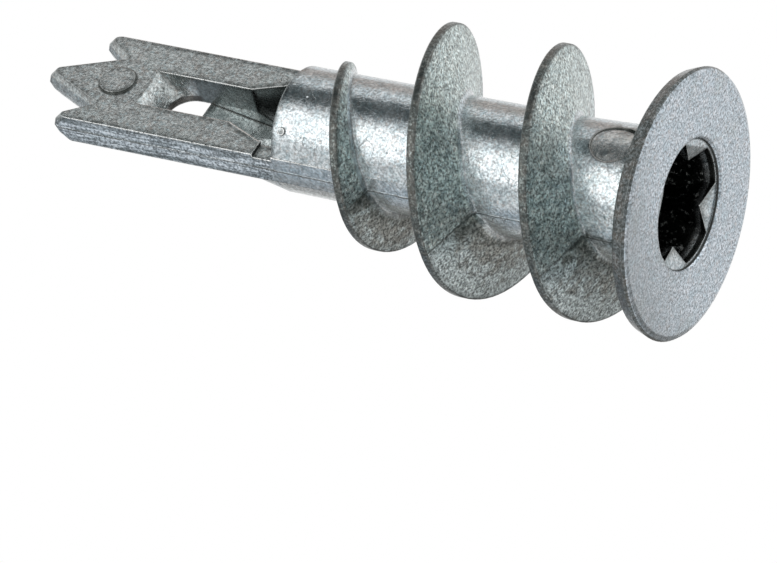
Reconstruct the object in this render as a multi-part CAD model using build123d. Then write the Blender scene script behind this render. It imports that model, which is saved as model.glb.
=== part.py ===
"""Self-drilling metal anchor for plasterboard, one zinc die-casting.

Frame, in millimetres: the origin is the centre of the head's front face, +Z runs along the axis from
the head to the drill tip, X is the width of the blade and Y the direction the two mould halves open in.
The anchor stands on its head, so the front face of the head lies on Z = 0.
"""
from build123d import *
from math import cos, pi, radians, sin
import os

# ---------------------------------------------------------------- driving dimensions
HEAD_DIAMETER = 15.0
HEAD_THICKNESS = 0.95
HEAD_FACE_DIAMETER = 14.3      # flat face inside the rounded front edge
HEAD_EDGE_HEIGHT = 0.25        # height at which the rim reaches its full diameter
HEAD_REAR_DIAMETER = 14.45
OVERALL_LENGTH = 40.25

BARREL_HEAD_DIAMETER = 7.36    # the barrel is drafted, thicker at the head
BARREL_END_DIAMETER = 7.04
BARREL_LENGTH = 23.95          # from the front face to the barrel's end
BARREL_FLARE = 0.5             # fillet between the barrel and the back of the head
NECK_SWELL = 0.18              # extra radius of the barrel at the head
NECK_END = 7.0                 # height where the swell has run out
BORE_DIAMETER = 5.0            # clear bore for the screw
THROAT_DIAMETER = 3.2          # narrow run in the blade, where the screw bites
THROAT_START = 27.7
BORE_END = 25.3                # end of the full bore, start of its cone

# drive recess in the head
RECESS_DIAMETER = 7.25
RECESS_STEP = 0.22             # depth of the plain round step above the ribs
RECESS_MOUTH_DIAMETER = 6.9
RECESS_DEPTH = 4.5
RIB_TIP_RADIUS = 2.35
RIB_ROOT_WIDTH = 2.75
RIB_FALL = 0.32                # drop of each rib's end face from its root to its tip
RIB_COUNT = 4
RIB_TURN = 45                  # the cross's slots run along X and Y, the ribs lie between them

# helical flights
FLIGHT_RADIUS = 7.32
RIM_THICKNESS = 0.5
RIM_CHAMFER = 0.08
FRONT_RISE = 3.85              # climb over the half turn on the +Y side
BACK_RISE = 2.95               # climb over the half turn on the -Y side
FIRST_BACK_RISE = 2.2          # the first half turn behind the thread's start is flatter
THREAD_EASE = 0.5              # share of each half turn's climb that slows at the parting plane
LAST_CROSSING = 5.8            # height where the last flight crosses the parting plane at +X
GROWTH_PER_TURN = 3.35         # growth of the flight radius from the thread's start
HEAD_SIDE_LEAN = 0.26          # lean of the flight face turned to the head
TIP_SIDE_LEAN = 0.16           # lean of the flight face turned to the tip
ROOT_FLARE = 0.35              # extra width where a flight runs into the barrel
PARTING_STEP = 0.45            # step at the root where the two mould halves meet
RUN_IN_ANGLE = 48              # thread start before the first full half turn, degrees
RUN_OUT_ANGLE = 55             # fall of the last flight before the head, degrees
SECTION_ANGLE = 22.5           # spacing of the flight's sections, degrees

# blade and fork tip; the heights are those at the parting plane, half way through the thickness
BLADE_WIDTH = 6.94
BLADE_THICKNESS = 1.78
NOTCH_HEIGHT = 36.45
NOTCH_OFFSET = 1.9             # distance of each notch from the axis
PRONG_HEIGHT = 38.35           # tip of the two outer prongs
PRONG_OFFSET = 3.2
PRONG_SHOULDER = 0.45          # fall from each outer prong's tip to the side of the blade
TIP_FLAT = 0.36                # blunt width of the centre prong
TIP_ROUND = 0.2
PRONG_ROUND = 0.2
SHOULDER_ROUND = 0.7
FORK_BEVEL = 0.62              # how much lower the fork lies on the blade's two faces
FORK_BEVEL_HALFWAY = 0.17      # the same, half way from the parting plane to a face

# slot through the blade
SLOT_WIDTH = 2.74
SLOT_END = 32.75
RAMP_TOP = 33.68               # where the ramp meets the front face of the blade
RAMP_FOOT = -0.45              # where it ends over the slot's round end, behind the parting plane
TROUGH_END = 30.75
TROUGH_END_DIAMETER = 4.4
FLOOR_ANGLE = 14               # fall of the trough's floor towards the bore, degrees
SHOULDER_GAP = 1.2             # groove between the rails of the blade and the barrel's end
SHOULDER_GAP_DEPTH = 0.22

# moulding marks
DISC_DIAMETER = 2.05           # round ejector mark on the blade
DISC_RISE = 0.15
DISC_HEIGHT = 35.6
BARREL_MARK_DIAMETER = 2.7     # round ejector mark sunk in the barrel by the head
BARREL_MARK_HEIGHT = 3.8
BARREL_MARK_DEPTH = 0.1
DOT_DIAMETER = 0.42            # small dot at the barrel's end
DOT_RISE = 0.12
DOT_ANGLE = 41
DOT_INSET = 0.65               # distance of the dot from the barrel's end

FLIGHT_ROOT_RADIUS = BORE_DIAMETER / 2 + 0.45


def revolved(points):
    """Solid of revolution about Z from (radius, height) corners."""
    outline = Polyline(*[(radius, 0, height) for radius, height in points], close=True)
    return revolve(make_face(outline), Axis.Z)


def barrel_radius(height):
    share = (BARREL_LENGTH - height) / BARREL_LENGTH
    return (BARREL_END_DIAMETER + (BARREL_HEAD_DIAMETER - BARREL_END_DIAMETER) * share) / 2


# ---------------------------------------------------------------- head and barrel
def head_and_barrel():
    flare = BARREL_FLARE
    foot = HEAD_THICKNESS + 0.1
    neck = barrel_radius(foot) + NECK_SWELL
    body = revolved(
        [
            (0, 0),
            (HEAD_FACE_DIAMETER / 2, 0),
            (HEAD_DIAMETER / 2 - 0.1, HEAD_EDGE_HEIGHT * 0.4),
            (HEAD_DIAMETER / 2, HEAD_EDGE_HEIGHT),
            (HEAD_REAR_DIAMETER / 2 + 0.05, HEAD_THICKNESS - 0.08),
            (HEAD_REAR_DIAMETER / 2 - 0.05, HEAD_THICKNESS),
            (neck + flare, foot),
            (neck + flare * 0.3, foot + flare * 0.3),
            (neck, foot + flare),
            (barrel_radius(NECK_END), NECK_END),
            (barrel_radius(BARREL_LENGTH), BARREL_LENGTH - 0.08),
            (barrel_radius(BARREL_LENGTH) - 0.08, BARREL_LENGTH),
            (0, BARREL_LENGTH),
        ]
    )
    return body


def trough():
    """Half pipe that carries the bore on behind the slot and closes its back."""
    start = BARREL_LENGTH - 1
    cone = revolved(
        [
            (0, start),
            (barrel_radius(start) - 0.1, start),
            (barrel_radius(BARREL_LENGTH) - 0.02, BARREL_LENGTH),
            (TROUGH_END_DIAMETER / 2, TROUGH_END),
            (0, TROUGH_END),
        ]
    )
    half = Pos(0, -HEAD_DIAMETER / 2, TROUGH_END / 2) * Box(HEAD_DIAMETER, HEAD_DIAMETER, TROUGH_END * 2)
    return cone & half


# ---------------------------------------------------------------- blade
def blade_outline():
    """Outline of the blade in the XZ plane, at the parting plane."""
    side = BLADE_WIDTH / 2
    shoulder = PRONG_HEIGHT - PRONG_SHOULDER
    right = [
        (side, HEAD_THICKNESS + 1 + FORK_BEVEL),
        (side, shoulder),
        (PRONG_OFFSET, PRONG_HEIGHT),
        (NOTCH_OFFSET, NOTCH_HEIGHT),
        (TIP_FLAT / 2, OVERALL_LENGTH),
    ]
    left = [(-x, z) for x, z in reversed(right)]
    outline = make_face(Polyline(*right, *left, close=True))
    tips = outline.vertices().filter_by(lambda v: abs(v.Y - OVERALL_LENGTH) < 0.01)
    outline = fillet(tips, TIP_ROUND)
    prongs = outline.vertices().filter_by(lambda v: abs(v.Y - PRONG_HEIGHT) < 0.01)
    outline = fillet(prongs, PRONG_ROUND)
    shoulders = outline.vertices().filter_by(lambda v: abs(v.Y - shoulder) < 0.01)
    outline = fillet(shoulders, SHOULDER_ROUND)
    return outline


def blade():
    """Two mould halves that meet at the parting plane, rounded off at the fork towards their faces."""
    middle = Plane.XZ * blade_outline()
    step = BLADE_THICKNESS / 4
    plate = None
    for side in (1, -1):
        inner = Vector(0, side * step, -FORK_BEVEL_HALFWAY)
        outer = Vector(0, side * step, FORK_BEVEL_HALFWAY - FORK_BEVEL)
        layers = extrude(middle, amount=inner.length, dir=inner)
        layers += extrude(Pos(inner) * middle, amount=outer.length, dir=outer)
        plate = layers if plate is None else plate + layers
    return plate


def scoop():
    """Ramp from the slot's round end up to a straight edge across the blade's front face."""
    half = SLOT_WIDTH / 2
    centre = SLOT_END - half
    top = BLADE_THICKNESS / 2

    def foot(angle):
        return (half * cos(radians(angle)), RAMP_FOOT, centre + half * sin(radians(angle)))

    curve = [Line(foot(180), foot(0))]
    for start, middle, end in ((0, 22.5, 45), (45, 90, 135), (135, 157.5, 180)):
        curve.append(ThreePointArc(foot(start), foot(middle), foot(end)))
    corners = [(-half, top, centre), (half, top, centre), (half, top, RAMP_TOP), (-half, top, RAMP_TOP)]
    mouth = make_face(Polyline(*corners, close=True))
    return loft([mouth, make_face(curve)], ruled=True)


def slot_cuts():
    half = SLOT_WIDTH / 2
    reach = HEAD_DIAMETER / 2
    centre = SLOT_END - half
    front = Pos(0, reach / 2, (BARREL_LENGTH + centre) / 2) * Box(SLOT_WIDTH, reach, centre - BARREL_LENGTH)
    window = Pos(0, 0, (TROUGH_END + centre) / 2) * Box(SLOT_WIDTH, 2 * reach, centre - TROUGH_END)
    end = Pos(0, 0, centre) * Rot(90, 0, 0) * Cylinder(half, 2 * reach)
    end -= Pos(0, 0, centre - half) * Box(2 * SLOT_WIDTH, 5 * reach, SLOT_WIDTH)
    return front + window + end + scoop()


def trough_floor():
    """Space over the trough's flat floor, which falls from the blade's back face towards the bore."""
    top = -BLADE_THICKNESS / 2
    run = TROUGH_END - BORE_END
    deep = top - run * sin(radians(FLOOR_ANGLE)) / cos(radians(FLOOR_ANGLE))
    space = make_face(
        Polyline(
            (0, top, TROUGH_END + 0.01),
            (0, deep, BORE_END),
            (0, 0, BORE_END),
            (0, 0, TROUGH_END + 0.01),
            close=True,
        )
    )
    return extrude(space, amount=SLOT_WIDTH / 2, both=True)


def shoulder_gaps():
    """Shallow grooves across the front of the two rails, beside the barrel's end."""
    front = BLADE_THICKNESS / 2
    gap = Pos(0, front, BARREL_LENGTH + SHOULDER_GAP / 2)
    return gap * Box(BLADE_WIDTH + 1, SHOULDER_GAP_DEPTH * 2, SHOULDER_GAP)


# ---------------------------------------------------------------- flights
def climb(share_angle):
    """Share of a half turn's climb reached at an angle from its lower end, in radians."""
    even = share_angle / pi
    eased = (1 - cos(share_angle)) / 2
    return (1 - THREAD_EASE) * even + THREAD_EASE * eased


def flight_section(angle, height, rim):
    """Cross-section of a flight in the radial plane at an angle from +X, in radians."""
    root = FLIGHT_ROOT_RADIUS
    flare = root + 0.25 * (rim - root)
    half = RIM_THICKNESS / 2
    chamfer = min(RIM_CHAMFER, 0.2 * (rim - root))
    front = sin(angle) >= 0 and 0 <= angle <= pi
    towards_head = max(0, -cos(angle)) if front else max(0, cos(angle))
    towards_tip = max(0, cos(angle)) if front else max(0, -cos(angle))
    reach = (rim - root) / (FLIGHT_RADIUS - root)
    head_step = PARTING_STEP * towards_head * reach
    tip_step = PARTING_STEP * towards_tip * reach
    head_flare = half + HEAD_SIDE_LEAN * (rim - flare) + 0.75 * head_step
    tip_flare = half + TIP_SIDE_LEAN * (rim - flare) + 0.75 * tip_step
    head_root = half + HEAD_SIDE_LEAN * (rim - root) + head_step + ROOT_FLARE * reach
    tip_root = half + TIP_SIDE_LEAN * (rim - root) + tip_step + ROOT_FLARE * reach
    corners = [
        (root, -head_root),
        (flare, -head_flare),
        (rim - chamfer, -half),
        (rim, -half + chamfer),
        (rim, half - chamfer),
        (rim - chamfer, half),
        (flare, tip_flare),
        (root, tip_root),
    ]
    points = [(r * cos(angle), r * sin(angle), height + offset) for r, offset in corners]
    return make_face(Polyline(*points, close=True))


def half_turn(start, end, low, rise, rim_at):
    """Loft of one half turn; start and end are angles from +X in degrees, low is the height at the start."""
    steps = max(2, round(abs(end - start) / SECTION_ANGLE))
    sections = []
    for step in range(steps + 1):
        angle = radians(start + (end - start) * step / steps)
        height = low + rise * climb(abs(angle))
        sections.append(flight_section(angle, height, rim_at(angle)))
    return loft(sections)


def flights():
    third = LAST_CROSSING
    second = third + FRONT_RISE + BACK_RISE
    first = second + FRONT_RISE + FIRST_BACK_RISE
    growth = GROWTH_PER_TURN / (2 * pi)
    start_radius = barrel_radius(BARREL_LENGTH) - 0.3
    run_in = radians(RUN_IN_ANGLE)
    at_first = start_radius + growth * (pi + run_in)

    def grown(angle, turns):
        return min(FLIGHT_RADIUS, at_first + growth * (2 * pi * turns - angle))

    def run_out(angle):
        left = pi - abs(angle)
        share = min(1, left / radians(RUN_OUT_ANGLE))
        low = barrel_radius(0)
        return low + (FLIGHT_RADIUS - low) * share ** 0.5

    parts = [
        half_turn(0, 180, first, FRONT_RISE, lambda a: grown(a, 0)),
        half_turn(0, -180, first, -FIRST_BACK_RISE, lambda a: grown(a, 0)),
        half_turn(0, 180, second, FRONT_RISE, lambda a: grown(a, 1)),
        half_turn(0, -180, second, -BACK_RISE, lambda a: FLIGHT_RADIUS),
        half_turn(0, 180, third, FRONT_RISE, lambda a: FLIGHT_RADIUS),
        half_turn(0, -180, third, -BACK_RISE, run_out),
    ]
    lead = []
    for share in (0, 0.5, 1):
        angle = pi + run_in * share
        height = first + FRONT_RISE + 0.6 * BACK_RISE * run_in * share / pi
        rim = at_first - growth * angle
        lead.append(flight_section(angle, height, rim))
    parts.append(loft(lead))
    return parts


# ---------------------------------------------------------------- bore, recess and marks
def bore_cuts():
    bore = revolved(
        [
            (0, RECESS_DEPTH - 0.01),
            (BORE_DIAMETER / 2, RECESS_DEPTH - 0.01),
            (BORE_DIAMETER / 2, BORE_END),
            (THROAT_DIAMETER / 2, THROAT_START),
            (0, THROAT_START),
        ]
    )
    step = revolved(
        [
            (0, -1),
            (RECESS_DIAMETER / 2 + 0.1, -1),
            (RECESS_DIAMETER / 2 + 0.1, 0),
            (RECESS_DIAMETER / 2, 0.1),
            (RECESS_DIAMETER / 2 - 0.05, RECESS_STEP),
            (0, RECESS_STEP),
        ]
    )
    recess = revolved(
        [
            (0, RECESS_STEP - 0.01),
            (RECESS_MOUTH_DIAMETER / 2, RECESS_STEP - 0.01),
            (BORE_DIAMETER / 2, RECESS_DEPTH),
            (0, RECESS_DEPTH),
        ]
    )
    root = (RECESS_MOUTH_DIAMETER ** 2 - RIB_ROOT_WIDTH ** 2) ** 0.5 / 2
    rib_outline = make_face(
        Polyline(
            (RIB_TIP_RADIUS, 0),
            (root, RIB_ROOT_WIDTH / 2),
            (root + 1, RIB_ROOT_WIDTH / 2),
            (root + 1, -RIB_ROOT_WIDTH / 2),
            (root, -RIB_ROOT_WIDTH / 2),
            close=True,
        )
    )
    rib = extrude(rib_outline, amount=RECESS_DEPTH)
    slope = make_face(
        Polyline(
            (RIB_TIP_RADIUS - 0.1, 0, -1),
            (RIB_TIP_RADIUS, 0, RECESS_STEP + RIB_FALL),
            (root, 0, RECESS_STEP),
            (root + 1.1, 0, RECESS_STEP),
            (root + 1.1, 0, -1),
            close=True,
        )
    )
    rib -= extrude(slope, amount=RIB_ROOT_WIDTH, both=True)
    for index in range(RIB_COUNT):
        recess -= Rot(0, 0, RIB_TURN + 360 / RIB_COUNT * index) * rib
    return [bore, step, recess]


def moulding_marks():
    disc = Pos(0, BLADE_THICKNESS / 2, DISC_HEIGHT) * Rot(-90, 0, 0)
    disc *= Cylinder(DISC_DIAMETER / 2, DISC_RISE, align=(Align.CENTER, Align.CENTER, Align.MIN))
    level = BARREL_LENGTH - DOT_INSET
    dot = Rot(0, 0, DOT_ANGLE) * Pos(barrel_radius(level) - 0.3, 0, level) * Rot(0, 90, 0)
    dot *= Cylinder(DOT_DIAMETER / 2, 0.3 + DOT_RISE, align=(Align.CENTER, Align.CENTER, Align.MIN))
    return [disc, dot]


def barrel_mark():
    """Round mark sunk to an even depth in the barrel's front."""
    depth = barrel_radius(BARREL_MARK_HEIGHT) - BARREL_MARK_DEPTH
    pin = Pos(0, depth / 2, BARREL_MARK_HEIGHT) * Rot(-90, 0, 0)
    pin *= Cylinder(BARREL_MARK_DIAMETER / 2, 2 * depth, align=(Align.CENTER, Align.CENTER, Align.MIN))
    return pin - Cylinder(depth + NECK_SWELL / 2, 4 * BARREL_LENGTH)


def anchor():
    body = head_and_barrel()
    body += blade()
    body += trough()
    for flight in flights():
        body += flight
    for mark in moulding_marks():
        body += mark
    body -= slot_cuts()
    body -= shoulder_gaps()
    body -= barrel_mark()
    for cut in bore_cuts():
        body -= cut
    body -= trough_floor()
    return body


os.makedirs("parts", exist_ok=True)
body = anchor()
solids = body.solids()
assert len(solids) == 1, len(solids)
export_step(solids[0], "parts/anchor_body.step")
print("volume mm3", round(solids[0].volume, 1))
print("box", solids[0].bounding_box())
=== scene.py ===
"""Metal plasterboard anchor: material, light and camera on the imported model.

The origin is the centre of the head's front face, +Z runs to the drill tip, X is the blade's width and +Y is
the side that the photograph shows. The part's sizes are in millimetres, the stage's in metres.
"""

import bpy
from mathutils import Matrix, Vector


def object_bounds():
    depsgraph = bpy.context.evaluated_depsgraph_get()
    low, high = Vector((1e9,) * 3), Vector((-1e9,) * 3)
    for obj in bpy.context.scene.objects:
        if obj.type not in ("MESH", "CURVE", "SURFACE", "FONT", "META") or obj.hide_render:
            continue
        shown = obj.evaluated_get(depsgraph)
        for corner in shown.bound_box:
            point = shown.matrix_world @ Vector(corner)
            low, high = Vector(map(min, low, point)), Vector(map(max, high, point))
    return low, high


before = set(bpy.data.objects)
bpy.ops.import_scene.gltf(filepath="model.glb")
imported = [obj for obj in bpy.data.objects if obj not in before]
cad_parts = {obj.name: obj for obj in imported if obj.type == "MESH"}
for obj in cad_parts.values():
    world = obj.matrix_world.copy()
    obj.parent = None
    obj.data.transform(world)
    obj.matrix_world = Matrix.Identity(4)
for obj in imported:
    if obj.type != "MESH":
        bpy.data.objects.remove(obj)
cad_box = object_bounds()
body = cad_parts["anchor_body"]

MM = 0.001
CENTRE = Vector((0, 0, cad_box[1][2] / 2))

# sizes of the part, which say where each tone of the material belongs; heights are along Z
HEAD_THICKNESS = 0.95
HEAD_EDGE = 0.25                # where the rounding of the front face ends
RECESS_RADIUS = 3.625
RECESS_STEP = 0.22
RECESS_DEPTH = 4.5
BARREL_RADIUS = 3.68            # at the head; the other end is 0.16 thinner
BARREL_END = 23.95
FLIGHT_RADIUS = 7.32
THROAT_START = 27.7
BLADE_HALF_WIDTH = 3.47
BLADE_HALF_THICKNESS = 0.89
SLOT_HALF = 1.37
SLOT_END = 32.75
SLOT_ROUND = SLOT_END - SLOT_HALF               # where the slot's straight walls end
TROUGH_END = 30.75
RAMP_FOOT = -0.45               # along Y
RAMP_TOP = 33.68
DISC_HEIGHT = 35.6              # raised ejector mark on the blade
DISC_RADIUS = 1.025
MARK_HEIGHT = 3.8               # sunk ejector mark on the barrel
MARK_RADIUS = 1.35

# how often each noise varies in a millimetre
GRAIN_SCALE = 7.0
FLECK_SCALE = 5.5
BLOTCH_SCALE = 3.0
PIT_SCALE = 2.3
PATCH_SCALE = 1.5
DRAWN_SCALE = 1.3
CLOUD_SCALE = 0.42

# surface of the casting; rounding and relief are in millimetres
METALLIC = 0.88
EDGE_ROUNDING = 0.14
GRAIN_RELIEF = 0.016
BARREL_GRAIN_RELIEF = 0.011
PIT_RELIEF = 0.03
PATCH_RELIEF = 0.02
SEAM_RELIEF = 0.03
SCRATCH_RELIEF = -0.02

# tones of the casting, and of the light and shade painted on it
ZINC_GREY = (0.41, 0.47, 0.495, 1)
ZINC_PALE = (0.51, 0.545, 0.56, 1)
THREAD_TINT = (0.97, 1.0, 0.94, 1)
HEAD_TINT = (1.0, 1.01, 1.06, 1)
BLADE_WARM = (0.33, 0.328, 0.31, 1)
BLADE_COOL = (0.42, 0.45, 0.44, 1)
CLOUD = (0.34, 0.385, 0.375, 1)
BROWN_FLECK = (0.40, 0.335, 0.29, 1)
BLUE_FLECK = (0.37, 0.50, 0.54, 1)
REAR_SHADE_BROWN = (0.29, 0.275, 0.25, 1)
REAR_SHADE_PALE = (0.52, 0.58, 0.59, 1)
DRAWN_DARK = (0.22, 0.25, 0.26, 1)
DRAWN_PALE = (0.74, 0.79, 0.82, 1)
TROUGH_PAINTED_LIGHT = (0.72, 0.80, 0.80, 1)
SCRATCH_GREY = (0.14, 0.15, 0.15, 1)
RIM_SHADE_GREY = (0.04, 0.046, 0.043, 1)
RIM_SHADE_BROWN = (0.085, 0.078, 0.068, 1)
EDGE_SHADE_GREY = (0.07, 0.08, 0.078, 1)
WEAR_AND_HIGHLIGHT_METAL = (0.95, 0.96, 0.95, 1)
WEAR_AND_HIGHLIGHT_BLADE = (0.74, 0.76, 0.75, 1)
WALL_SHADE_GREY = (0.07, 0.085, 0.085, 1)
GROOVE_SHADOW_GREY = (0.05, 0.06, 0.058, 1)
HEAD_SIDE_SHADE_GREY = (0.2, 0.215, 0.22, 1)
MARK_EDGE_SHADE = (0.1, 0.095, 0.085, 1)
MARK_BROWN = (0.2, 0.19, 0.175, 1)
MARK_TAN = (0.52, 0.49, 0.45, 1)
DISC_EDGE_SHADE = (0.08, 0.09, 0.085, 1)
SLOT_SHADE = (0.06, 0.055, 0.05, 1)
SEAM_GREY = (0.08, 0.085, 0.08, 1)
CREASE_SHADE_GREY = (0.05, 0.06, 0.055, 1)
HOLLOW_SHADE_BROWN = (0.085, 0.08, 0.07, 1)
FOOT_SHADE_GREY = (0.05, 0.055, 0.05, 1)
INSIDE_SHADE_BLACK = (0.012, 0.013, 0.012, 1)
INSIDE_GLINT = (0.5, 0.52, 0.5, 1)
LIP_SHADE_BLACK = (0.02, 0.022, 0.02, 1)

# ---------------------------------------------------------------- camera
CAMERA_AT = Vector((232.59, 247.722, -157.785)) * MM
CAMERA_UP = Vector((-0.666008, 0.723786, 0.180462))
CAMERA_BACK = Vector((0.594785, 0.661275, -0.457107))
CAMERA_RIGHT = CAMERA_UP.cross(CAMERA_BACK)
LENS = 324.324324               # millimetres, as the sensor's width is
SENSOR = 36.0


def add_camera():
    """Long lens at the photograph's viewing angle."""
    data = bpy.data.cameras.new("camera")
    data.sensor_width = SENSOR
    data.lens = LENS
    data.clip_start = 0.01
    data.clip_end = 10.0
    camera = bpy.data.objects.new("camera", data)
    bpy.context.scene.collection.objects.link(camera)
    basis = Matrix((CAMERA_RIGHT, CAMERA_UP, CAMERA_BACK)).transposed().to_4x4()
    basis.translation = CAMERA_AT
    camera.matrix_world = basis
    bpy.context.scene.camera = camera
    bpy.context.scene.view_settings.view_transform = "Standard"


def seen(right, up, back):
    """World direction from parts along the first view's right, its up and towards the viewer."""
    return (CAMERA_RIGHT * right + CAMERA_UP * up + CAMERA_BACK * back).normalized()


# ---------------------------------------------------------------- node helpers
class Tree:
    """Short names for building a node tree."""

    def __init__(self, tree):
        self.tree = tree
        tree.nodes.clear()

    def node(self, kind, **settings):
        made = self.tree.nodes.new(kind)
        for name, value in settings.items():
            setattr(made, name, value)
        return made

    def plug(self, value, socket):
        if isinstance(value, bpy.types.NodeSocket):
            self.tree.links.new(value, socket)
        else:
            socket.default_value = value

    def finish(self, surface, output="ShaderNodeOutputMaterial"):
        self.plug(surface, self.node(output).inputs["Surface"])

    def math(self, operation, *values, clamp=False):
        made = self.node("ShaderNodeMath", operation=operation, use_clamp=clamp)
        for socket, value in zip(made.inputs, values):
            self.plug(value, socket)
        return made.outputs[0]

    def total(self, first, *others):
        for other in others:
            first = self.math("ADD", first, other)
        return first

    def product(self, first, *others):
        for other in others:
            first = self.math("MULTIPLY", first, other)
        return first

    def size_of(self, value):
        return self.math("ABSOLUTE", value)

    def rest(self, share):
        return self.math("SUBTRACT", 1.0, share)

    def vector(self, operation, *values):
        made = self.node("ShaderNodeVectorMath", operation=operation)
        for socket, value in zip(made.inputs, values):
            self.plug(value, socket)
        return made.outputs["Value" if operation in ("LENGTH", "DOT_PRODUCT") else "Vector"]

    def scaled(self, vector, factor):
        made = self.node("ShaderNodeVectorMath", operation="SCALE")
        self.plug(vector, made.inputs[0])
        self.plug(factor, made.inputs["Scale"])
        return made.outputs["Vector"]

    def ramp(self, value, low, high, to_low=0.0, to_high=1.0, smooth=True):
        """A value from low to high becomes one from to_low to to_high, and stays there beyond them."""
        made = self.node("ShaderNodeMapRange", interpolation_type="SMOOTHSTEP" if smooth else "LINEAR")
        made.clamp = True
        self.plug(value, made.inputs["Value"])
        self.plug(low, made.inputs["From Min"])
        self.plug(high, made.inputs["From Max"])
        self.plug(to_low, made.inputs["To Min"])
        self.plug(to_high, made.inputs["To Max"])
        return made.outputs["Result"]

    def noise(self, where, scale, detail=3.0, roughness=0.55, distortion=0.0):
        made = self.node("ShaderNodeTexNoise")
        self.plug(where, made.inputs["Vector"])
        made.inputs["Scale"].default_value = scale
        made.inputs["Detail"].default_value = detail
        made.inputs["Roughness"].default_value = roughness
        made.inputs["Distortion"].default_value = distortion
        return made.outputs["Fac"]

    def openness(self, reach, samples=8, inside=False):
        """How free the space over a point is, or with inside, how solid the metal behind it is."""
        made = self.node("ShaderNodeAmbientOcclusion", samples=samples, inside=inside)
        made.inputs["Distance"].default_value = reach * MM
        return made.outputs["AO"]

    def mix(self, share, a, b, blend="MIX"):
        made = self.node("ShaderNodeMix", data_type="RGBA", blend_type=blend)
        self.plug(share, made.inputs[0])
        self.plug(a, made.inputs[6])
        self.plug(b, made.inputs[7])
        return made.outputs[2]

    def mixed_shader(self, share, a, b):
        made = self.node("ShaderNodeMixShader")
        self.plug(share, made.inputs["Fac"])
        self.plug(a, made.inputs[1])
        self.plug(b, made.inputs[2])
        return made.outputs["Shader"]

    def plain(self, kind, colour, output, **strength):
        """Shader that needs no more than a colour and, for some kinds, a strength."""
        made = self.node(kind)
        made.inputs["Color"].default_value = colour
        for name, value in strength.items():
            made.inputs[name].default_value = value
        return made.outputs[output]


def new_material(name):
    material = bpy.data.materials.new(name)
    material.use_nodes = True
    return material


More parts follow.
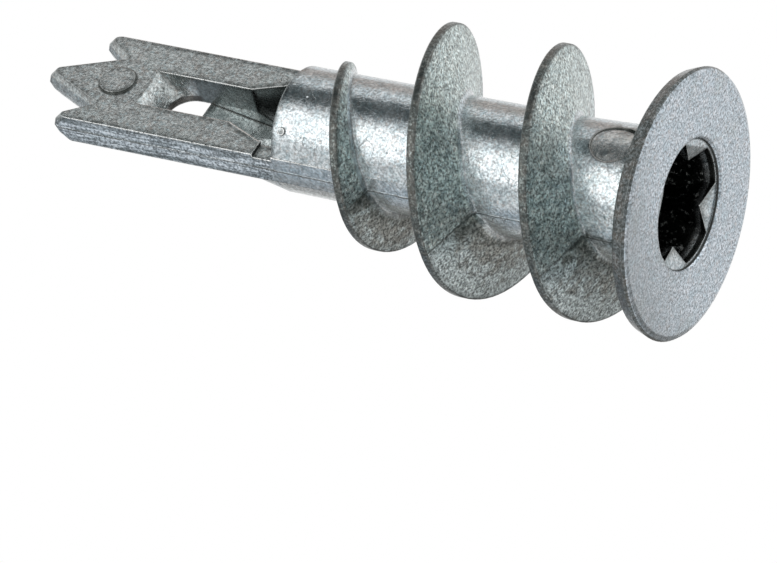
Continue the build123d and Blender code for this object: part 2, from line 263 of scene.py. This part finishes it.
# ---------------------------------------------------------------- cast zinc
class CastZinc(Tree):
    """The casting's one material. Each method paints one feature over what is there already; several paint
    light and shade.
    """

    def __init__(self, material):
        super().__init__(material.node_tree)
        self.find_places()
        self.find_grain()
        self.paint_tone()
        self.paint_rear_shade()
        self.paint_blade()
        self.paint_speckle()
        self.paint_scratches()
        self.paint_rims()
        self.paint_edges()
        self.paint_wall_shade()
        self.paint_barrel_mark()
        self.paint_disc_ring()
        self.paint_slot_end()
        self.paint_seam()
        self.paint_creases()
        self.paint_hollow_shade()
        self.paint_inside()
        shader = self.node("ShaderNodeBsdfPrincipled")
        shader.inputs["Metallic"].default_value = METALLIC
        self.plug(self.colour, shader.inputs["Base Color"])
        self.plug(self.roughness(), shader.inputs["Roughness"])
        self.plug(self.relief(), shader.inputs["Normal"])
        self.finish(shader.outputs["BSDF"])

    def paint(self, share, colour, blend="MIX"):
        self.colour = self.mix(share, self.colour, colour, blend)

    def find_places(self):
        """Where a point lies on the part, in millimetres, and shares for the part's main regions."""
        coordinates = self.node("ShaderNodeTexCoord")
        normal = coordinates.outputs["Normal"]
        self.mm = self.scaled(coordinates.outputs["Object"], 1.0 / MM)
        parts = self.node("ShaderNodeSeparateXYZ")
        self.plug(self.mm, parts.inputs[0])
        self.x, self.y, self.z = parts.outputs
        across = self.node("ShaderNodeCombineXYZ")
        self.plug(self.x, across.inputs["X"])
        self.plug(self.y, across.inputs["Y"])
        self.radius = self.vector("LENGTH", across.outputs["Vector"])
        radial = self.vector("NORMALIZE", across.outputs["Vector"])
        self.outward = self.vector("DOT_PRODUCT", radial, normal)
        self.normal_x = self.vector("DOT_PRODUCT", normal, (1.0, 0.0, 0.0))
        self.normal_y = self.vector("DOT_PRODUCT", normal, (0.0, 1.0, 0.0))
        self.normal_z = self.vector("DOT_PRODUCT", normal, (0.0, 0.0, 1.0))
        self.thread = self.product(
            self.ramp(self.radius, BARREL_RADIUS + 0.07, BARREL_RADIUS + 0.27),
            self.ramp(self.z, HEAD_THICKNESS - 0.05, HEAD_THICKNESS + 0.25),
            self.ramp(self.z, BARREL_END, BARREL_END - 0.1),
        )
        self.blade = self.ramp(self.z, BARREL_END, BARREL_END + 0.4)
        self.head = self.ramp(self.z, HEAD_EDGE + 0.05, 0.05)
        above_head = self.ramp(self.z, HEAD_THICKNESS + 0.05, HEAD_THICKNESS + 0.25)
        other = self.math("MAXIMUM", self.thread, self.blade)
        self.barrel = self.math("SUBTRACT", above_head, other)

    def find_grain(self):
        """Fine cast grain, about 0.1 mm, and ever broader mottling."""
        aside = self.vector("ADD", self.mm, (7.0, 3.0, 5.0))
        self.grain = self.noise(self.mm, GRAIN_SCALE, detail=4.0, roughness=0.7)
        self.fleck = self.noise(aside, FLECK_SCALE, detail=2.0, roughness=0.6)
        self.blotch = self.noise(self.mm, BLOTCH_SCALE, detail=4.0, roughness=0.65)
        self.patches = self.noise(self.mm, PATCH_SCALE, detail=4.0, roughness=0.6, distortion=0.4)
        self.clouds = self.noise(self.mm, CLOUD_SCALE)

    def paint_tone(self):
        """Grey zinc, greener on the thread, bluer on the head and warmer on the blade, with faint flecks."""
        self.colour = self.mix(self.ramp(self.patches, 0.32, 0.68), ZINC_GREY, ZINC_PALE)
        self.paint(self.thread, THREAD_TINT, "MULTIPLY")
        self.paint(self.head, HEAD_TINT, "MULTIPLY")
        blade_tone = self.mix(self.ramp(self.blotch, 0.36, 0.64), BLADE_WARM, BLADE_COOL)
        self.paint(self.product(self.blade, 0.7), blade_tone)
        self.paint(self.ramp(self.clouds, 0.52, 0.72, 0.0, 0.35), CLOUD)
        self.paint(self.ramp(self.fleck, 0.42, 0.32, 0.0, 0.45), BROWN_FLECK)
        self.paint(self.ramp(self.fleck, 0.58, 0.68, 0.0, 0.45), BLUE_FLECK)

    def paint_rear_shade(self):
        """Painted shade and reflection on the -Y half, turned away from the key lamp: the flights darker and
        browner at the roots, paler towards the rims, the barrel a little.
        """
        behind = self.total(self.y, self.product(self.patches, 0.2))
        flights = self.product(self.thread, self.ramp(behind, 0.12, 0.02))
        barrel = self.ramp(behind, 0.08, -0.6, 0.0, 0.6)
        self.rear = self.product(
            self.math("MAXIMUM", flights, barrel),
            self.rest(self.blade),
            self.ramp(self.z, 0.2, 0.5),
        )
        fade = self.ramp(self.radius, BARREL_RADIUS + 0.22, FLIGHT_RADIUS - 0.32, -0.14, 0.16)
        rear_shade_tone = self.ramp(self.total(fade, self.patches), 0.34, 0.66)
        self.paint(self.product(self.rear, 0.75), self.mix(rear_shade_tone, REAR_SHADE_BROWN, REAR_SHADE_PALE))

    def paint_blade(self):
        """Draw marks along the blade's two sides, and painted light on the trough in its slot, which is made
        paler.
        """
        stretched = self.vector("MULTIPLY", self.mm, (1.0, 5.0, 0.35))
        drawn = self.noise(stretched, DRAWN_SCALE)
        wide = self.size_of(self.x)
        at_side = self.ramp(wide, BLADE_HALF_WIDTH - 0.11, BLADE_HALF_WIDTH - 0.05)
        self.side = self.product(self.blade, at_side)
        marks = self.mix(self.ramp(drawn, 0.4, 0.6), DRAWN_DARK, DRAWN_PALE)
        self.paint(self.product(self.side, 0.75), marks)
        # painted light: the trough's floor, facing +Y, is made paler
        trough = self.product(
            self.ramp(wide, SLOT_HALF - 0.01, SLOT_HALF - 0.07),
            self.ramp(self.y, BLADE_HALF_THICKNESS - 0.19, BLADE_HALF_THICKNESS - 0.39),
            self.blade,
            self.ramp(self.z, TROUGH_END + 0.15, TROUGH_END - 0.15),
            self.ramp(self.normal_y, 0.1, 0.4),
        )
        self.paint(trough, TROUGH_PAINTED_LIGHT)

    def paint_speckle(self):
        """Grain and mottling as light and dark."""
        speckled = self.scaled(self.colour, self.ramp(self.grain, 0.4, 0.6, 0.25, 1.75, smooth=False))
        share = self.total(
            0.48,
            self.product(self.thread, 0.47),
            self.product(self.head, 0.2),
            self.product(self.side, 0.35),
        )
        self.paint(share, speckled)
        mottled = self.scaled(self.colour, self.ramp(self.blotch, 0.38, 0.62, 0.68, 1.32, smooth=False))
        share = self.total(self.product(self.thread, 0.45), self.product(self.rear, -0.25), 0.38)
        self.paint(share, mottled)

    def paint_scratches(self):
        """A few fine scratches, where one broad noise crosses its middle value."""
        bent = self.noise(self.mm, 0.85, detail=1.0, distortion=0.5)
        ridge = self.size_of(self.math("SUBTRACT", bent, 0.5))
        places = self.ramp(self.noise(self.mm, 0.7, detail=1.0), 0.5, 0.6)
        self.scratch = self.product(self.ramp(ridge, 0.006, 0.002), places)
        self.paint(self.product(self.scratch, 0.5), SCRATCH_GREY)

    def paint_rims(self):
        """The rims of the head and the flights are painted dark, in brown patches: painted shade for the
        dark reflections they show.
        """
        rim_shade = self.product(
            self.ramp(self.outward, 0.35, 0.7),
            self.ramp(self.radius, BARREL_RADIUS + 0.32, BARREL_RADIUS + 0.82),
            self.ramp(self.grain, 0.42, 0.62, 0.97, 0.7),
        )
        self.paint(rim_shade, self.mix(self.ramp(self.patches, 0.42, 0.6), RIM_SHADE_GREY, RIM_SHADE_BROWN))

    def paint_edges(self):
        """Every edge has a dark line of painted shade, and is painted bright at the very corner: partly
        wear, partly a painted highlight on the rounded edge.
        """
        edge_shade = self.product(
            self.ramp(self.openness(0.42, samples=6, inside=True), 0.93, 0.76),
            self.ramp(self.blotch, 0.38, 0.6, 0.85, 0.45),
            self.ramp(self.head, 0.0, 1.0, 1.0, 0.4),
        )
        self.paint(edge_shade, EDGE_SHADE_GREY)
        self.wear_and_highlight = self.product(
            self.ramp(self.openness(0.12, inside=True), 0.8, 0.6),
            self.ramp(self.grain, 0.34, 0.46),
            self.ramp(self.z, HEAD_THICKNESS - 0.05, HEAD_THICKNESS + 0.15, 0.65, 1.0),
        )
        self.paint(self.product(self.wear_and_highlight, 0.85), self.mix(self.blade, WEAR_AND_HIGHLIGHT_METAL, WEAR_AND_HIGHLIGHT_BLADE))

    def paint_wall_shade(self):
        """Painted shade: the slot's side walls, the shadowed groove by the barrel's end and one side of the
        head, towards +X, are darker.
        """
        wall = self.product(
            self.math("COMPARE", self.size_of(self.x), SLOT_HALF, 0.05),
            self.ramp(self.z, SLOT_ROUND + 0.22, SLOT_ROUND - 0.08),
            self.ramp(self.z, BARREL_END, BARREL_END + 0.5),
            self.ramp(self.size_of(self.y), BLADE_HALF_THICKNESS - 0.05, BLADE_HALF_THICKNESS - 0.11),
        )
        self.paint(self.product(wall, 0.75), WALL_SHADE_GREY)
        facing_axis = self.product(
            self.ramp(self.product(self.x, self.normal_x), -0.4, -0.9),
            self.blade,
            self.ramp(self.z, THROAT_START + 0.3, THROAT_START - 0.1),
        )
        self.paint(self.product(facing_axis, 0.8), GROOVE_SHADOW_GREY)
        to_one_side = self.total(self.x, self.product(self.clouds, 4.0))
        head_side_shade = self.product(self.ramp(to_one_side, 3.0, 9.0, 0.0, 0.5), self.ramp(self.z, 0.1, 0.02))
        self.paint(head_side_shade, HEAD_SIDE_SHADE_GREY)

    def from_axis_at(self, height):
        """Distance in X and Z from the middle of a round mark at a height."""
        shifted = self.vector("SUBTRACT", self.mm, (0.0, 0.0, height))
        return self.vector("LENGTH", self.vector("MULTIPLY", shifted, (1.0, 0.0, 1.0)))

    def paint_barrel_mark(self):
        """The sunk ejector mark on the barrel is brownish, with painted shade along its edge as a dark
        outline.
        """
        away = self.from_axis_at(MARK_HEIGHT)
        front = self.ramp(self.y, BARREL_RADIUS - 0.48, BARREL_RADIUS - 0.33)
        outline = self.product(
            self.ramp(self.size_of(self.math("SUBTRACT", away, MARK_RADIUS)), 0.12, 0.04, 0.0, 0.7),
            front,
            self.ramp(self.z, HEAD_THICKNESS + 0.55, HEAD_THICKNESS + 0.95),
        )
        self.paint(outline, MARK_EDGE_SHADE)
        self.mark = self.product(self.ramp(away, MARK_RADIUS, MARK_RADIUS - 0.08), front)
        tone = self.mix(self.ramp(self.blotch, 0.42, 0.58), MARK_BROWN, MARK_TAN)
        self.paint(self.product(self.mark, 0.45), tone)

    def paint_disc_ring(self):
        """A dark ring of painted shade lies round the raised ejector mark on the blade, at the foot of its
        wall.
        """
        off_edge = self.math("SUBTRACT", self.from_axis_at(DISC_HEIGHT), DISC_RADIUS + 0.03)
        ring = self.product(
            self.ramp(self.size_of(off_edge), 0.13, 0.05),
            self.ramp(self.y, BLADE_HALF_THICKNESS - 0.09, BLADE_HALF_THICKNESS - 0.03),
            self.ramp(self.blotch, 0.4, 0.6, 0.85, 0.45),
        )
        self.paint(ring, DISC_EDGE_SHADE)

    def paint_slot_end(self):
        """Painted shadow: the slot's round end is dark below the foot of its ramp."""
        below = self.product(
            self.ramp(self.y, RAMP_FOOT + 0.03, RAMP_FOOT - 0.05),
            self.ramp(self.y, 0.01 - BLADE_HALF_THICKNESS, 0.09 - BLADE_HALF_THICKNESS),
            self.ramp(self.z, SLOT_ROUND - 0.38, SLOT_ROUND + 0.02),
            self.ramp(self.z, RAMP_TOP - 0.08, RAMP_TOP - 0.28),
            self.ramp(self.size_of(self.x), SLOT_HALF + 0.05, SLOT_HALF + 0.01),
        )
        self.paint(self.product(below, 0.85), SLOT_SHADE)

    def paint_seam(self):
        """Flash along the parting line of the two mould halves, which wanders a little."""
        self.near_seam = self.total(self.y, self.product(self.math("SUBTRACT", self.patches, 0.5), 0.18))
        self.seam = self.product(
            self.ramp(self.size_of(self.near_seam), 0.08, 0.02),
            self.ramp(self.radius, BARREL_RADIUS - 0.38, BARREL_RADIUS - 0.26),
            self.ramp(self.z, 0.1, 0.2),
        )
        self.paint(self.product(self.seam, self.ramp(self.blotch, 0.4, 0.55, 0.2, 0.75)), SEAM_GREY)

    def paint_creases(self):
        """Painted shade in the crease where the mould halves meet on a flight, and in the rear flights'
        roots.
        """
        crease = self.product(
            self.ramp(self.near_seam, -0.75, -0.15),
            self.ramp(self.y, 0.35, 0.1),
            self.ramp(self.radius, BARREL_RADIUS + 2.12, BARREL_RADIUS + 0.62),
            self.ramp(self.radius, BARREL_RADIUS - 0.06, BARREL_RADIUS + 0.04),
            self.rest(self.blade),
        )
        at_root = self.ramp(self.radius, BARREL_RADIUS + 0.82, BARREL_RADIUS + 0.22, 0.0, 0.75)
        root = self.product(self.thread, self.rear, at_root)
        share = self.product(
            self.math("MAXIMUM", crease, root),
            self.ramp(self.blotch, 0.35, 0.65, 0.95, 0.4),
            self.ramp(self.z, HEAD_THICKNESS + 0.25, HEAD_THICKNESS + 1.25),
        )
        self.paint(share, CREASE_SHADE_GREY)

    def paint_hollow_shade(self):
        """Painted shade in hollows, most of it on the -Y half, and a dark line of painted shade at the foot
        of each wall.
        """
        hollow_shade = self.product(
            self.ramp(self.openness(1.3), 0.62, 0.2, 0.0, 0.85),
            self.ramp(self.rear, 0.0, 1.0, 0.3, 0.8),
            self.ramp(self.blade, 0.0, 1.0, 1.0, 0.3),
        )
        self.paint(hollow_shade, HOLLOW_SHADE_BROWN)
        self.paint(self.ramp(self.openness(0.22), 0.88, 0.6, 0.0, 0.85), FOOT_SHADE_GREY)

    def paint_inside(self):
        """Painted shade: the recess's walls and the bore are black, with a few lighter specks as painted
        glints.
        """
        black = self.mix(self.ramp(self.blotch, 0.56, 0.66), INSIDE_SHADE_BLACK, INSIDE_GLINT)
        limit = self.ramp(
            self.z, RECESS_DEPTH + 0.1, RECESS_DEPTH + 2.0,
            RECESS_RADIUS - 0.065, BARREL_RADIUS - 0.48, smooth=False,
        )
        deep = self.product(
            self.ramp(self.z, RECESS_STEP + 0.28, RECESS_STEP + 0.73),
            self.ramp(self.z, BARREL_END + 0.4, BARREL_END - 0.2),
            self.ramp(self.math("SUBTRACT", self.radius, limit), 0.0, -0.06),
        )
        self.paint(deep, black)
        # painted shade: a dark line on the step wall of the recess
        lip = self.product(
            self.ramp(self.size_of(self.normal_z), 0.6, 0.4),
            self.ramp(self.radius, RECESS_RADIUS + 0.095, RECESS_RADIUS + 0.055),
            self.ramp(self.z, RECESS_STEP + 0.38, RECESS_STEP + 0.28),
            self.ramp(self.z, 0.02, RECESS_STEP, 0.8, 1.0),
        )
        self.paint(lip, LIP_SHADE_BLACK)

    def roughness(self):
        """The barrel is smoothest, apart from its sunk mark, and the thread roughest."""
        rough = self.total(
            self.ramp(self.grain, 0.3, 0.7, 0.30, 0.16),
            self.ramp(self.patches, 0.3, 0.7, -0.06, 0.07),
            self.product(self.barrel, -0.1),
            self.product(self.thread, 0.1),
            self.product(self.mark, 0.14),
        )
        return self.math("SUBTRACT", rough, self.product(self.wear_and_highlight, 0.12), clamp=True)

    def relief(self):
        """Grain, a few shallow pits, unevenness, the seam and the scratches, on rounded edges."""
        cells = self.node("ShaderNodeTexVoronoi", feature="F1")
        self.plug(self.mm, cells.inputs["Vector"])
        cells.inputs["Scale"].default_value = PIT_SCALE
        pit = self.ramp(cells.outputs["Distance"], 0.05, 0.17, -1.0, 0.0)
        few = self.ramp(self.noise(self.mm, 1.1, detail=2.0), 0.55, 0.66)
        height = self.total(
            self.product(self.grain, self.ramp(self.barrel, 0.0, 1.0, GRAIN_RELIEF, BARREL_GRAIN_RELIEF)),
            self.product(pit, few, PIT_RELIEF),
            self.product(self.patches, PATCH_RELIEF),
            self.product(self.seam, SEAM_RELIEF),
            self.product(self.scratch, SCRATCH_RELIEF),
        )
        bevel = self.node("ShaderNodeBevel", samples=6)
        bevel.inputs["Radius"].default_value = EDGE_ROUNDING * MM
        bump = self.node("ShaderNodeBump")
        bump.inputs["Strength"].default_value = 1.0
        bump.inputs["Distance"].default_value = 1.0 * MM
        self.plug(height, bump.inputs["Height"])
        self.plug(bevel.outputs["Normal"], bump.inputs["Normal"])
        return bump.outputs["Normal"]


def dress_body():
    """The CAD body takes the one material."""
    zinc = new_material("cast_zinc")
    CastZinc(zinc)
    body.data.materials.clear()
    body.data.materials.append(zinc)
    for polygon in body.data.polygons:
        polygon.material_index = 0


# ---------------------------------------------------------------- world, floor, cards and lamps, in metres
WHITE = (1, 1, 1, 1)
FILL_COLOUR = (0.95, 0.97, 1.0, 1)
FILL_STRENGTH = 0.6
FLOOR_COLOUR = (0.93, 0.93, 0.93, 1)
FLOOR_SIZE = 4.0
FLOOR_DROP = 0.02 * MM          # keeps the floor just off the head's face
FADE_START = 0.05               # distance from the origin where the floor begins to whiten
FADE_END = 0.5                  # where it is plain white
CARD_DISTANCE = 0.5


def add_world():
    """White behind the object and in its reflections, soft grey as fill light."""
    made = bpy.data.worlds.new("world")
    bpy.context.scene.world = made
    made.use_nodes = True
    t = Tree(made.node_tree)
    fill = t.plain("ShaderNodeBackground", FILL_COLOUR, "Background", Strength=FILL_STRENGTH)
    white = t.plain("ShaderNodeBackground", WHITE, "Background", Strength=1.0)
    path = t.node("ShaderNodeLightPath")
    shown = t.math("MAXIMUM", path.outputs["Is Camera Ray"], path.outputs["Is Glossy Ray"])
    shown = t.math("MAXIMUM", shown, path.outputs["Is Transmission Ray"])
    t.finish(t.mixed_shader(shown, fill, white), "ShaderNodeOutputWorld")


def placed(at, towards):
    """Placement that turns local Z to a direction."""
    return Matrix.Translation(at) @ Vector(towards).to_track_quat("Z", "Y").to_matrix().to_4x4()


def plate(name, size, at, towards, material, **rays):
    """Flat square of the stage, facing a direction."""
    half = size / 2
    corners = [(-half, -half, 0), (half, -half, 0), (half, half, 0), (-half, half, 0)]
    mesh = bpy.data.meshes.new(name)
    mesh.from_pydata(corners, [], [(0, 1, 2, 3)])
    mesh.materials.append(material)
    made = bpy.data.objects.new(name, mesh)
    bpy.context.scene.collection.objects.link(made)
    made.matrix_world = placed(at, towards)
    for ray, on in rays.items():
        setattr(made, "visible_" + ray, on)


def add_floor():
    """Pale floor, white far from the object, seen from above only: no light comes from under it."""
    material = new_material("floor")
    t = Tree(material.node_tree)
    pale = t.plain("ShaderNodeBsdfDiffuse", FLOOR_COLOUR, "BSDF")
    white = t.plain("ShaderNodeEmission", WHITE, "Emission", Strength=1.0)
    distance = t.vector("LENGTH", t.node("ShaderNodeTexCoord").outputs["Object"])
    surface = t.mixed_shader(t.ramp(distance, FADE_START, FADE_END, 0.3, 1.0), pale, white)
    clear = t.node("ShaderNodeBsdfTransparent").outputs["BSDF"]
    from_below = t.node("ShaderNodeNewGeometry").outputs["Backfacing"]
    t.finish(t.mixed_shader(from_below, surface, clear))
    plate(
        "floor", FLOOR_SIZE, Vector((0, 0, -FLOOR_DROP)), (0, 0, 1), material,
        diffuse=False, glossy=False, transmission=False, shadow=False,
    )


def add_card(name, direction, size, shade, distance=CARD_DISTANCE, towards=None):
    """Toned card beside the object, seen in the metal only. It faces the object unless told otherwise."""
    if towards is None:
        towards = -direction
    material = new_material(name)
    t = Tree(material.node_tree)
    t.finish(t.plain("ShaderNodeBsdfDiffuse", shade, "BSDF"))
    plate(
        name, size, CENTRE + direction * distance, towards, material,
        camera=False, diffuse=False, shadow=False, transmission=False,
    )


def add_softbox(name, direction, distance, size, power, colour):
    """Rectangular lamp that shines on the object from a direction."""
    light = bpy.data.lights.new(name, "AREA")
    light.shape = "RECTANGLE"
    light.size, light.size_y = size
    light.energy = power
    light.color = colour
    made = bpy.data.objects.new(name, light)
    bpy.context.scene.collection.objects.link(made)
    made.matrix_world = placed(CENTRE + direction * distance, direction)


add_camera()
dress_body()
add_world()
add_floor()

# cards that the metal mirrors: a dark one over it, a warm one behind, greys and a pale one below
add_card("card_over", seen(-0.44, 0.865, 0.13), 0.31, (0.11, 0.13, 0.13, 1))
add_card("card_back", seen(-0.03, 0.745, -0.67), 0.26, (1.0, 0.86, 0.78, 1))
add_card("card_under", seen(0.57, -0.4, -0.72), 0.3, (0.55, 0.53, 0.5, 1), 0.25, seen(0, 1, 0))
add_card("card_low", seen(-0.5, -0.8, -0.3), 0.4, (0.9, 0.95, 1.0, 1))
add_card("card_tail", seen(-0.58, -0.35, -0.73), 0.36, (0.7, 0.74, 0.77, 1))

add_softbox(
    "key", seen(-0.8, 0.18, 0.57),
    distance=0.6, size=(0.5, 0.35), power=0.68, colour=(1.0, 0.97, 0.95),
)
add_softbox(
    "second", seen(0.76, 0.6, 0.23),
    distance=0.5, size=(0.34, 0.34), power=0.25, colour=(0.95, 0.98, 1.0),
)
